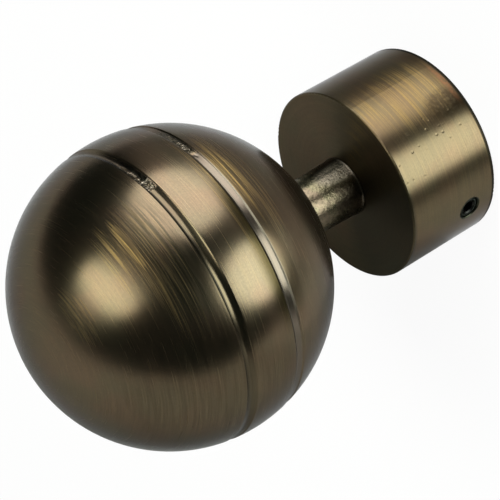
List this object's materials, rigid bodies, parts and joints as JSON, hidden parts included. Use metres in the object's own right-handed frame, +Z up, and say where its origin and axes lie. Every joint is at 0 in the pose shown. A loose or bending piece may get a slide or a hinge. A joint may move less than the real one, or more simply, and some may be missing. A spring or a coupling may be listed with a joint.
{
  "type": "curtain pole finial",
  "caption": "Ball finial with two turned grooves on a short neck and a cup-shaped end cap, which slides over the end of a round curtain pole and is locked by a grub screw.",
  "frame": {"origin": "centre of the end cap's open mouth, on the plane that the finial stands on", "axes": "+Z runs up the finial's turning axis from the cap's mouth to the ball, and the grub screw faces -Y"},
  "size_m": [0.0534, 0.0534, 0.0839],
  "materials": {
    "brushed_bronze": "turned aluminium alloy, brushed antique brass coating",
    "cast_bronze": "cast and polished alloy, glossy antique brass coating with fine pits",
    "zinc_steel": "zinc plated steel",
    "black_steel": "black oxide steel"
  },
  "bodies": {
    "root": {"end_cap": "brushed_bronze", "neck": "cast_bronze", "ball": "brushed_bronze", "fixing_screw": "zinc_steel", "grub_screw": "black_steel"}
  },
  "joints": []
}
